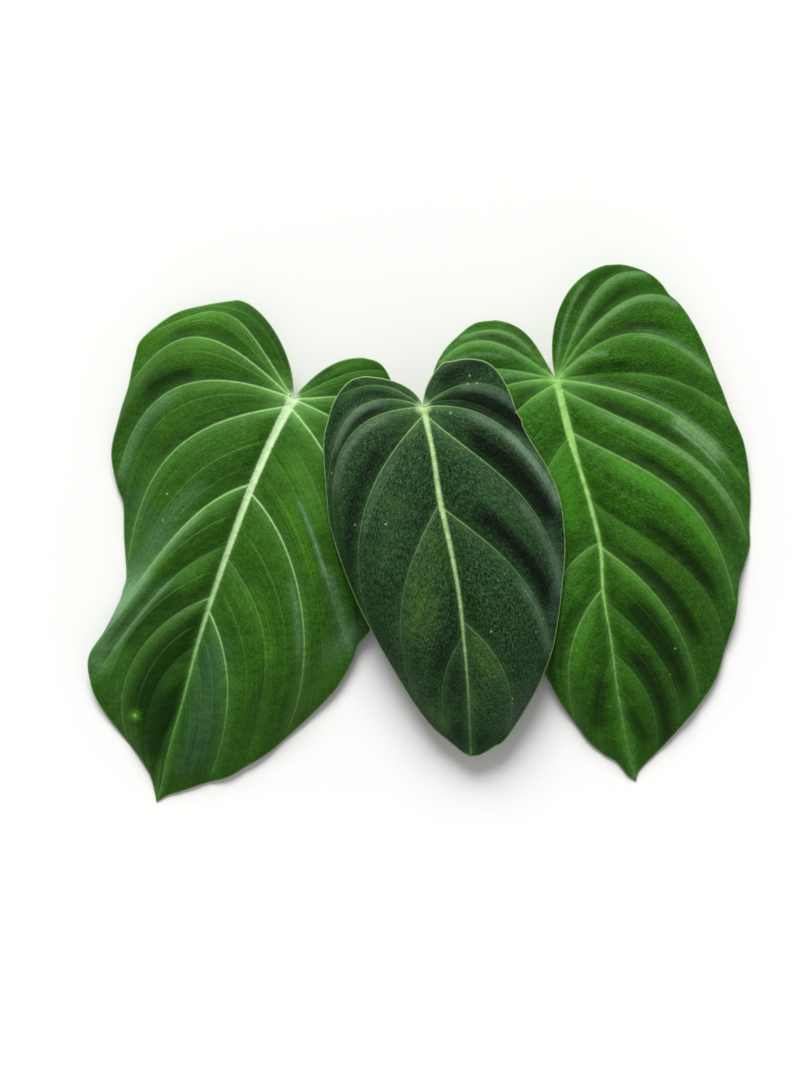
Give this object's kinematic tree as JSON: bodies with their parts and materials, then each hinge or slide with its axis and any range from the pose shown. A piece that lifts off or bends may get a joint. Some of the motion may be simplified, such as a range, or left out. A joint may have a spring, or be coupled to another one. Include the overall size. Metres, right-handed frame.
{
  "type": "philodendron gloriosum cutting with leaves",
  "caption": "Velvety heart-shaped aroid leaves with sunk pale veins, on flat-topped stalks that grow from one short ringed rhizome, cut and laid on a surface",
  "frame": {"origin": "on the level surface that the cutting lies on, under the rhizome, in the middle of the flat that it rests on", "axes": "+Z is up, the way the blades face; +Y runs to the notches of the blades and -Y to their tips; +X is across the three blades, to the right when seen from above with +Y up"},
  "size_m": [0.4001, 0.3239, 0.0656],
  "materials": {
    "leaf_mid_green": "velvety mid green blade with a soft grey sheen and pale sunk veins",
    "leaf_dark_green": "velvety, very dark blue-green blade with a soft grey sheen and pale sunk veins",
    "leaf_bright_green": "velvety saturated green blade with a soft sheen and pale sunk veins",
    "petiole": "smooth, half-gloss, fleshy pale green stalk with fine pale streaks",
    "rhizome": "dull green-brown creeping stem with brown rings, a pale cut end and pale brown roots"
  },
  "bodies": {
    "root": {"leaf_left": "leaf_mid_green", "leaf_middle": "leaf_dark_green", "leaf_right": "leaf_bright_green", "petiole_left": "petiole", "petiole_middle": "petiole", "petiole_right": "petiole", "rhizome": "rhizome"}
  },
  "joints": []
}
